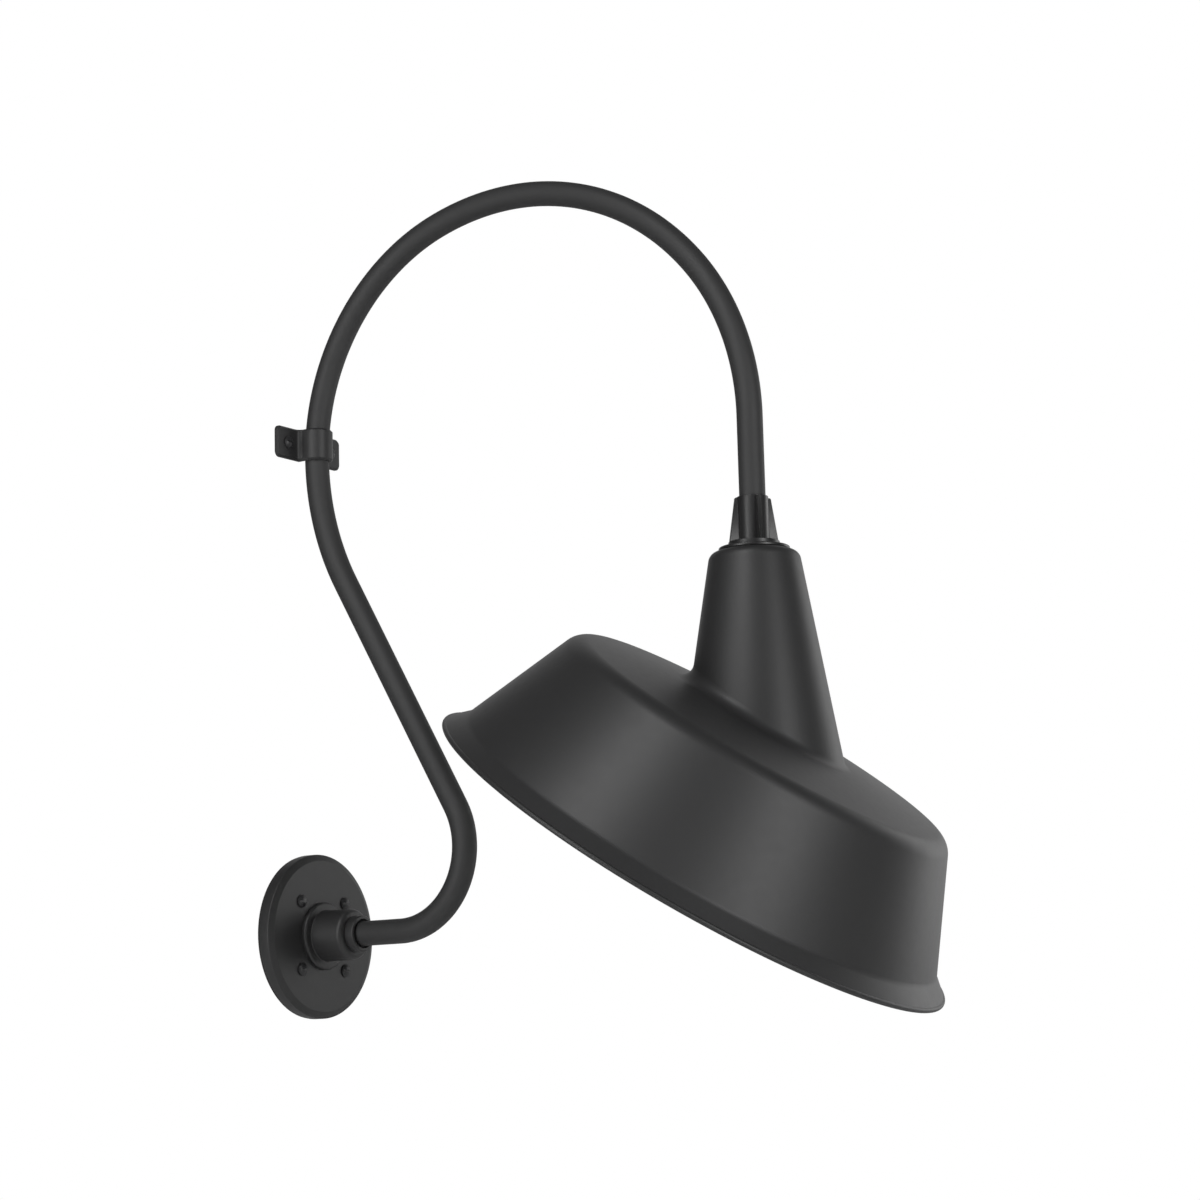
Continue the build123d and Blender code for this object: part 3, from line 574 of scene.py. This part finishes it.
def gooseneck_tube():
    out, up, heading, held = TUBE_START, 0.0, 0.0, 0.0
    corners = [(out, up, 0.0)]
    for straight, bend, radius in BENDS:
        turn = math.radians(bend)
        reach = radius * math.tan(abs(turn) / 2)
        out += (held + straight + reach) * math.cos(heading)
        up += (held + straight + reach) * math.sin(heading)
        corners.append((out, up, radius))
        heading, held = heading + turn, reach
    mesh = seed_mesh("gooseneck_line", [(0, -o * MM, u * MM) for o, u, _ in corners],
                     [(i, i + 1) for i in range(len(corners) - 1)],
                     round=[r * MM for _, _, r in corners])
    piece = shaped("gooseneck_bent", mesh, BENT, Outside_radius=TUBE_R * MM,
                   Wall=TUBE_WALL * MM, Coat=TUBE_COAT)
    join_ends(piece, [Vector((0, -o, u)) * MM for o, u, _ in (corners[0], corners[-1])])
    standing_for(piece, "mount", "black_powder_coat", "gooseneck_tube")


# ------------------------------------------------------------------- screws
HEAD_R, HEAD_H, HEAD_EDGE, HEAD_EASE, DOME_STEPS = 4.95, 3.2, 0.9, 0.15, 12
SLOT_W, SLOT_DEPTH, CUT_PAST, CUT_OVER = 1.25, 1.3, 8, 2     # the cutter is longer and higher
SHANK_R, CREST_R, ROOT_R, POINT_R = 2.6, 2.1, 1.7, 1.5
PITCH, CREST, POINT = 0.8, 0.1, 1.2           # of the thread, its crests and its plain point
PLATE_SCREW_XZ, PLATE_STUD = 26.149, 22.0
STRAP_Z, STRAP_T, STRAP_SCREW_X, STRAP_STUD = 389.424, 3.2, 26.0, 6.0


def slotted_screw(name, seat, stud_out):
    """Round slotted head over z = 0, a plain shank through the seat, and a thread."""
    sag = HEAD_H - HEAD_EDGE
    dome = (HEAD_R ** 2 + sag ** 2) / (2 * sag)
    angles = [i / DOME_STEPS * math.asin(HEAD_R / dome) for i in range(DOME_STEPS + 1)]
    rows = [(dome * math.sin(a), HEAD_H - dome * (1 - math.cos(a))) for a in angles]
    rows += [(HEAD_R, HEAD_EASE), (HEAD_R - HEAD_EASE, 0), (SHANK_R, 0), (SHANK_R, -seat)]
    turns = int((stud_out - POINT) / PITCH)
    for i in range(turns):
        rows += [(CREST_R, -seat - i * PITCH - CREST), (ROOT_R, -seat - i * PITCH - 0.5 * PITCH)]
    rows += [(CREST_R, -seat - turns * PITCH), (POINT_R, -seat - stud_out), (0, -seat - stud_out)]
    blank = shaped(name + "_blank", profile(name, rows, False), TURNED, Sides=48)
    slot = block("slot", (-CUT_PAST, -SLOT_W / 2, HEAD_H - SLOT_DEPTH),
                 (CUT_PAST, SLOT_W / 2, HEAD_H + CUT_OVER))
    return trimmed(name, blank, slot, OUTWARDS)


def set_out(name, screw, spots, replaced):
    """Spots give each screw's place and its slot's turn in degrees."""
    mesh = seed_mesh(name + "_places", [Vector(spot[:3]) * MM for spot in spots],
                     turn=[math.radians(spot[3]) for spot in spots])
    piece = shaped(name, mesh, SET_OUT, Screw=screw, Coat=FINISHES["black_screw"])
    let_go(screw)
    standing_for(piece, "mount", "black_screw", replaced)


def screws():
    plate = [(x * PLATE_SCREW_XZ, -FACE, z * PLATE_SCREW_XZ, turn)
             for x, z, turn in ((-1, -1, 4), (-1, 1, -6), (1, -1, 9), (1, 1, 2))]
    set_out("plate_screws_slotted", slotted_screw("plate_screw", FACE, PLATE_STUD), plate,
            "plate_screws")
    strap = [(x * STRAP_SCREW_X, -STRAP_T, STRAP_Z, turn) for x, turn in ((-1, 12), (1, -8))]
    set_out("strap_screws_slotted", slotted_screw("strap_screw", STRAP_T, STRAP_STUD), strap,
            "strap_screws")


# ------------------------------------------------------------------- fitter
# The shade's own frame: origin on the drop tube's axis at the fitter's top, turned to its aim.
FITTER_OUT, FITTER_UP, AIM = 414.146, 293.734, math.radians(8)
SHADE = moved(0, -FITTER_OUT, FITTER_UP) @ Matrix.Rotation(AIM, 4, "Z")
SLEEVE_BORE, SLEEVE_R, RING_R, FLANGE_R, THREAD_R, WIRE_HOLE = 9.575, 11.3, 18.5, 25.6, 15.0, 7.5
TUBE_STOP, RING_Z, FLANGE_Z, THREAD_Z, FITTER_END = -26, -33.0, -37.0, -39.2, -54.0
RIBS, RIB_T, RIB_EDGE, FIRST_RIB = 4, 2.6, 0.2, math.radians(41)
RIB_FOOT, RIB_ROOT = RING_Z - 0.5, SLEEVE_R - 0.9        # sunk into the ring and the sleeve
RIB_OUTLINE = [(RIB_ROOT, -0.5), (13.0, -1.0), (13.5, -1.5), (18.4, RIB_FOOT),
               (RIB_ROOT, RIB_FOOT)]


def fitter_rib():
    """One rib in the plane of X and Z, with its edges eased."""
    work = bmesh.new()
    side = [work.verts.new((r * MM, -RIB_T / 2 * MM, h * MM)) for r, h in RIB_OUTLINE]
    top = bmesh.ops.extrude_face_region(work, geom=[work.faces.new(side)])
    raised = [part for part in top["geom"] if isinstance(part, bmesh.types.BMVert)]
    bmesh.ops.translate(work, vec=(0, RIB_T * MM, 0), verts=raised)
    bmesh.ops.recalc_face_normals(work, faces=work.faces)
    bmesh.ops.bevel(work, geom=work.edges[:], offset=RIB_EDGE * MM, segments=2, profile=0.5,
                    affect="EDGES")
    return in_scene("rib", mesh_of("rib", work))


def shade_fitter():
    mesh = profile("fitter_profile", [
        (SLEEVE_BORE, 0, 0.3), (SLEEVE_R, 0, 0.5), (SLEEVE_R, RING_Z, 0.4), (RING_R, RING_Z, 0.5),
        (RING_R, FLANGE_Z, 0.4), (FLANGE_R, FLANGE_Z, 0.9), (FLANGE_R, THREAD_Z, 0.3),
        (THREAD_R, THREAD_Z), (THREAD_R, FITTER_END, 0.5), (WIRE_HOLE, FITTER_END),
        (WIRE_HOLE, TUBE_STOP), (SLEEVE_BORE, TUBE_STOP)])
    body = shaped("fitter_body", mesh, TURNED, Sides=96)
    rib = fitter_rib()
    piece = shaped("shade_fitter_ribbed", body.data.copy(), RIBBED, SHADE, Rib=rib, Ribs=RIBS,
                   First_rib=FIRST_RIB, Coat=SATIN_COAT)
    let_go(body, rib)
    standing_for(piece, "shade", "black_powder_coat", "shade_fitter")


# ------------------------------------------------------------ neck and dish
SHEET = 1.2
NECK_TOP, NECK_TOP_R, NECK_SHOULDER = -40.0, 32.2, 7.5
NECK_TAPER = math.tan(math.radians(9.68))
OPENING_LEDGE = 3.0                           # the dish's sheet inside the neck's wall
# The middle of the rim in the shade's frame, and the dish's tilt.
RIM_Y, RIM_Z, TILT = 55.8, NECK_TOP - 217.9, math.radians(34.3)
NECK_END = RIM_Z + 43.0                       # well inside the dish, which cuts the neck off
RIM_R, BEAD_R, BEAD_STEPS = 204.1, 1.9, 16
# The dish's outside from its middle to its lip: radius and height over the rim.
DISH_OUTSIDE = [(0.0, 118.6), (RIM_R - 53.4, 102.4), (RIM_R - 13.2, 13.9), (RIM_R - 1.5, 3.2)]
CROWN, SHOULDER, FLARE, LIP = DISH_OUTSIDE
SHOULDER_ROUND, FLARE_ROUND, ROUND_STEPS = 17.3, 10.2, 12
DISH_ROWS = [CROWN, (*SHOULDER, SHOULDER_ROUND), (*FLARE, FLARE_ROUND)]


def offset_line(a, b, away):
    """The line from a to b, moved sideways."""
    length = math.dist(a, b)
    dx, dy = (b[1] - a[1]) / length * away, (a[0] - b[0]) / length * away
    return (a[0] + dx, a[1] + dy), (b[0] + dx, b[1] + dy)


def crossing(first, second):
    """The point where two lines cross, each given by two points."""
    (x1, y1), (x2, y2) = first
    (x3, y3), (x4, y4) = second
    d = (x1 - x2) * (y3 - y4) - (y1 - y2) * (x3 - x4)
    a, b = x1 * y2 - y1 * x2, x3 * y4 - y3 * x4
    return (a * (x3 - x4) - (x1 - x2) * b) / d, (a * (y3 - y4) - (y1 - y2) * b) / d


def on_bead(a, b, centre):
    """The angle on the rim's bead at which the line from a to b first meets it."""
    ux, uy = (b[0] - a[0]) / math.dist(a, b), (b[1] - a[1]) / math.dist(a, b)
    along = (centre[0] - a[0]) * ux + (centre[1] - a[1]) * uy
    off = (a[0] + along * ux - centre[0], a[1] + along * uy - centre[1])
    back = along - math.sqrt(BEAD_R ** 2 - off[0] ** 2 - off[1] ** 2)
    return math.atan2(a[1] + back * uy - centre[1], a[0] + back * ux - centre[0])


def dish_place():
    """The dish's place: its axis tilted, its rim's middle set off from the neck."""
    sin, cos = math.sin(TILT), math.cos(TILT)
    z = Vector((0, -sin, cos))
    x = Vector((0, -cos, -sin))
    turn = Matrix((x, z.cross(x), z)).transposed().to_4x4()
    return SHADE @ moved(0, RIM_Y, RIM_Z) @ turn


def neck_side(inset):
    """The neck's top corner and lower end, on a wall drawn in by an inset."""
    corner = (NECK_TOP_R, NECK_TOP)
    end = (NECK_TOP_R + NECK_TAPER * (NECK_TOP - NECK_END), NECK_END)
    side = offset_line(corner, end, inset)
    return crossing(((0, NECK_TOP - inset), (1, NECK_TOP - inset)), side), side[1]


def shade_dish():
    inner = [offset_line(a, b, SHEET) for a, b in zip(DISH_OUTSIDE, DISH_OUTSIDE[1:])]
    in_crown = crossing(inner[0], ((0, 0), (0, 1)))
    in_shoulder, in_flare = crossing(inner[0], inner[1]), crossing(inner[1], inner[2])
    centre = (RIM_R - BEAD_R, BEAD_R)
    start = on_bead(FLARE, LIP, centre)
    end = on_bead(in_flare, inner[2][1], centre) - 2 * math.pi
    bead = [start + (end - start) * i / BEAD_STEPS for i in range(BEAD_STEPS + 1)]
    # The lining starts under the bead.
    rows = DISH_ROWS + [(centre[0] + BEAD_R * math.cos(a), centre[1] + BEAD_R * math.sin(a), 0,
                         float(a < -math.pi / 2)) for a in bead]
    rows += [(*in_flare, FLARE_ROUND - SHEET, 1), (*in_shoulder, SHOULDER_ROUND - SHEET, 1),
             (*in_crown, 0, 1)]
    blank = shaped("dish_blank", profile("dish_profile", rows, False), TURNED, dish_place(),
                   Sides=256, Steps_in_a_round=ROUND_STEPS, Lining=ENAMEL)
    corner, end = neck_side(SHEET + OPENING_LEDGE)
    opening = [(0, corner[1]), (*corner, NECK_SHOULDER - SHEET - OPENING_LEDGE), end, (0, end[1])]
    core = shaped("neck_core", profile("neck_core", opening, False), TURNED, SHADE, Sides=128)
    piece = trimmed("shade_dish_spun", blank, core, Lining=ENAMEL)
    standing_for(piece, "shade", "black_powder_coat", "shade_dish")


def neck_cone():
    corner, end = neck_side(0.0)
    in_corner, in_end = neck_side(SHEET)
    mesh = profile("neck_profile", [
        (THREAD_R, NECK_TOP), (*corner, NECK_SHOULDER), end, (*in_end, 0, 1),
        (*in_corner, NECK_SHOULDER - SHEET, 1), (THREAD_R, NECK_TOP - SHEET, 0, 1)])
    blank = shaped("neck_blank", mesh, TURNED, SHADE, Sides=160, Steps_in_a_round=10,
                   Lining=ENAMEL)
    rows = DISH_ROWS + [LIP, (LIP[0], 0), (0, 0)]
    inside = shaped("dish_core", profile("dish_core", rows, False), TURNED, dish_place(),
                    Sides=256, Steps_in_a_round=ROUND_STEPS)
    piece = trimmed("neck_cone_spun", blank, inside, Lining=ENAMEL)
    standing_for(piece, "shade", "black_powder_coat", "neck_cone")


# ------------------------------------------------------------------- fillet
FILLET_R, FILLET_GROWTH = 8.0, 2.5            # at the back, and half of what it gains in front
FILLET_SIDES, FILLET_STEPS, FILLET_SUNK, CORNER_FILL = 192, 10, 0.6, 0.25
CORNER_STEPS, HUNT_STEP, HALVINGS = 16, 2.0, 24


def bent_corner(a, corner, c, radius, steps):
    """Points round a corner between two lines, on an arc tangent to both."""
    (ax, ay), (bx, by), (cx, cy) = a, corner, c
    u = Vector((ax - bx, ay - by)).normalized()
    v = Vector((cx - bx, cy - by)).normalized()
    half = u.angle(v) / 2
    centre = Vector(corner) + (u + v).normalized() * (radius / math.sin(half))
    first = Vector(corner) + u * (radius / math.tan(half)) - centre
    last = Vector(corner) + v * (radius / math.tan(half)) - centre
    return [tuple(centre + first.slerp(last, i / steps).normalized() * radius)
            for i in range(steps + 1)]


def nearest(line, point):
    """The nearest point on a line of corners, and how far it is."""
    best = None
    for a, b in zip(line, line[1:]):
        run = Vector(b) - Vector(a)
        share = min(1.0, max(0.0, (Vector(point) - Vector(a)).dot(run) / run.length_squared))
        spot = Vector(a) + run * share
        away = (Vector(point) - spot).length
        if best is None or away < best[1]:
            best = (spot, away)
    return best


def neck_fillet():
    """The brazed fillet round the neck's foot: a ball rolled along the neck and the dish."""
    skin = [CROWN] + bent_corner(CROWN, SHOULDER, FLARE, SHOULDER_ROUND, CORNER_STEPS) + [FLARE]
    to_dish = dish_place().inverted() @ SHADE
    from_dish = to_dish.inverted()
    slope = math.atan(NECK_TAPER)

    def on_dish(centre):
        """The dish's nearest point to a ball's centre, in the dish's frame, and how far it is."""
        local = to_dish @ (centre * MM) / MM
        radius = math.hypot(local.x, local.y)
        spot, away = nearest(skin, (radius, local.z))
        return Vector((local.x / radius * spot.x, local.y / radius * spot.x, spot.y)), away

    def beside_neck(z):
        """The ball's centre where it touches the neck at a height."""
        foot = out * (NECK_TOP_R + NECK_TAPER * (NECK_TOP - z)) + Vector((0, 0, z))
        return foot + side * ball

    rings = []
    for i in range(FILLET_SIDES):
        turn = 2 * math.pi * i / FILLET_SIDES
        out = Vector((math.cos(turn), math.sin(turn), 0))
        side = out * math.cos(slope) + Vector((0, 0, math.sin(slope)))
        ball = FILLET_R + FILLET_GROWTH * (1 - out.y)
        high, low = NECK_TOP, NECK_TOP
        while on_dish(beside_neck(low))[1] > ball:
            high, low = low, low - HUNT_STEP
        for _ in range(HALVINGS):
            middle = (high + low) / 2
            if on_dish(beside_neck(middle))[1] > ball:
                high = middle
            else:
                low = middle
        centre = beside_neck(low)
        first, last = -side * ball, from_dish @ (on_dish(centre)[0] * MM) / MM - centre
        arc = [centre + first.slerp(last, k / FILLET_STEPS).normalized() * ball
               for k in range(FILLET_STEPS + 1)]
        # Behind the arc it is sunk into the dish and the neck, and fills a part of the corner.
        inwards = (first + last).normalized() * ball
        rings.append(arc + [arc[-1] + last.normalized() * FILLET_SUNK,
                            centre + inwards + inwards * CORNER_FILL,
                            arc[0] + first.normalized() * FILLET_SUNK])
    count = len(rings[0])
    faces = [(i * count + k, i * count + (k + 1) % count,
              (i + 1) % FILLET_SIDES * count + (k + 1) % count, (i + 1) % FILLET_SIDES * count + k)
             for i in range(FILLET_SIDES) for k in range(count)]
    mesh = seed_mesh("neck_fillet_skin", [p * MM for ring in rings for p in ring], (), faces)
    piece = shaped("neck_fillet_brazed", mesh, SMOOTHED, SHADE)
    standing_for(piece, "shade", "black_powder_coat", "neck_fillet")


for make in (wall_plate, arm_hub, arm_collar, gooseneck_tube, screws, shade_fitter, shade_dish,
             neck_cone, neck_fillet):
    make()


# ---------------------------------------------------------- camera and light
LENS, SENSOR, NEAR, FAR = 90.0, 36.0, 0.05, 60.0
CAMERA_AT = (-1.8169, -1.5047, -0.1330)
CAMERA_RIGHT = (0.56242, -0.82645, -0.02566)
CAMERA_UP = (-0.1224, -0.1139, 0.98592)
CAMERA_BACK = (-0.81774, -0.55137, -0.16522)


def camera():
    data = bpy.data.cameras.new("camera")
    data.lens, data.sensor_width, data.clip_start, data.clip_end = LENS, SENSOR, NEAR, FAR
    obj = in_scene("camera", data)
    turn = Matrix((CAMERA_RIGHT, CAMERA_UP, CAMERA_BACK)).transposed().to_4x4()
    obj.matrix_world = Matrix.Translation(CAMERA_AT) @ turn
    bpy.context.scene.camera = obj


def around(azimuth, elevation, distance, centre):
    """A place seen from the centre: azimuth 0 lies towards -Y, 90 towards +X."""
    a, e = math.radians(azimuth), math.radians(elevation)
    way = Vector((math.sin(a) * math.cos(e), -math.cos(a) * math.cos(e), math.sin(e)))
    return Vector(centre) + distance * way


def softbox(name, spot, target, width, height, watts):
    data = bpy.data.lights.new(name, "AREA")
    data.shape, data.size, data.size_y, data.energy = "RECTANGLE", width, height, watts
    turn = (spot - Vector(target)).to_track_quat("Z", "Y")
    in_scene(name, data).matrix_world = Matrix.Translation(spot) @ turn.to_matrix().to_4x4()


# The side on which gloss mirrors the most, where that starts, its brightest and its least;
# and what the surroundings give to matte surfaces.
BRIGHT_SIDE, EDGE, BRIGHT, DIM, FILL = around(111, 3, 1.0, (0, 0, 0)), 0.45, 0.76, 0.09, 0.32


def world():
    """White behind the object; what its gloss mirrors is bright on one side and dim elsewhere."""
    sky = bpy.data.worlds.new("studio")
    bpy.context.scene.world = sky
    sky.use_nodes = True
    tree = sky.node_tree
    tree.nodes.clear()
    rays = step(tree, "ShaderNodeLightPath").outputs
    direction = step(tree, "ShaderNodeTexCoord").outputs["Generated"]
    facing = step(tree, "ShaderNodeVectorMath", {0: direction},
                  {1: Vector(BRIGHT_SIDE).normalized()}, operation="DOT_PRODUCT")
    fall = step(tree, "ShaderNodeMapRange", {"Value": facing.outputs["Value"]},
                {"From Min": EDGE, "From Max": 1.0, "To Min": DIM, "To Max": BRIGHT},
                interpolation_type="SMOOTHSTEP")
    mirrored = maths(tree, "MULTIPLY", fall.outputs[0], rays["Is Glossy Ray"])
    clear = maths(tree, "MAXIMUM", rays["Is Camera Ray"], rays["Is Transmission Ray"])
    other = maths(tree, "SUBTRACT", 1.0, maths(tree, "MAXIMUM", clear, rays["Is Glossy Ray"]))
    filled = maths(tree, "ADD", clear, maths(tree, "MULTIPLY", other, FILL))
    strength = maths(tree, "ADD", mirrored, filled)
    light = step(tree, "ShaderNodeBackground", {"Strength": strength}, {"Color": (1, 1, 1, 1)})
    step(tree, "ShaderNodeOutputWorld", {"Surface": light.outputs[0]})


# -------------------------------------------------------------------- floor
# In metres: its height and radius, where its paint starts to pass into white, and where it ends.
FLOOR_Z, FLOOR_R, FLOOR_PALE, FLOOR_WHITE = -0.45, 6.0, 0.9, 2.6


def floor_paint():
    """Pale paint that passes into white further out, and is clear from underneath."""
    material, tree, shader, place = new_material("pale_floor")
    shader.inputs["Base Color"].default_value = (0.80, 0.80, 0.80, 1)
    shader.inputs["Roughness"].default_value = 0.7
    shader.inputs["Specular IOR Level"].default_value = 0.15
    reach = step(tree, "ShaderNodeVectorMath", {0: place}, operation="LENGTH")
    fade = step(tree, "ShaderNodeMapRange", {"Value": reach.outputs["Value"]},
                {"From Min": FLOOR_PALE, "From Max": FLOOR_WHITE},
                interpolation_type="SMOOTHSTEP")
    seen = maths(tree, "MULTIPLY", fade.outputs[0],
                 step(tree, "ShaderNodeLightPath").outputs["Is Camera Ray"])
    white = step(tree, "ShaderNodeEmission").outputs[0]
    top = step(tree, "ShaderNodeMixShader", {0: seen, 1: shader.outputs[0], 2: white})
    under = step(tree, "ShaderNodeNewGeometry").outputs["Backfacing"]
    clear = step(tree, "ShaderNodeBsdfTransparent").outputs[0]
    both = step(tree, "ShaderNodeMixShader", {0: under, 1: top.outputs[0], 2: clear})
    wire(tree, both.outputs[0], tree.nodes["Material Output"].inputs["Surface"])
    return material


def floor():
    """A pale floor under the object, below the photograph's frame."""
    work = bmesh.new()
    bmesh.ops.create_circle(work, cap_ends=True, segments=96, radius=FLOOR_R)
    bmesh.ops.translate(work, vec=(0, 0, FLOOR_Z), verts=work.verts)
    bmesh.ops.recalc_face_normals(work, faces=work.faces)
    for face in work.faces:
        if face.normal.z < 0:
            face.normal_flip()
    obj = in_scene("floor", mesh_of("floor", work))
    obj.data.materials.append(floor_paint())


camera()
world()
floor()
MIDDLE, PLATE_AIM = (0.0, -0.30, 0.20), (0, 0, 0.1)
# Each softbox: where it stands round its aim, the aim, its width, height and watts.
for name, way, aim, width, height, watts in (
        ("left_softbox", (-103, 3, 2.2), MIDDLE, 0.6, 1.4, 18),
        ("upper_softbox", (-84, 42, 2.2), MIDDLE, 0.5, 0.6, 17),
        ("right_softbox", (-17, 8, 2.2), MIDDLE, 0.5, 1.2, 20),
        ("plate_softbox", (51, 8, 1.3), PLATE_AIM, 0.5, 0.9, 2.7)):
    softbox(name, around(*way, aim), aim, width, height, watts)

bpy.context.scene.view_settings.view_transform = "Standard"
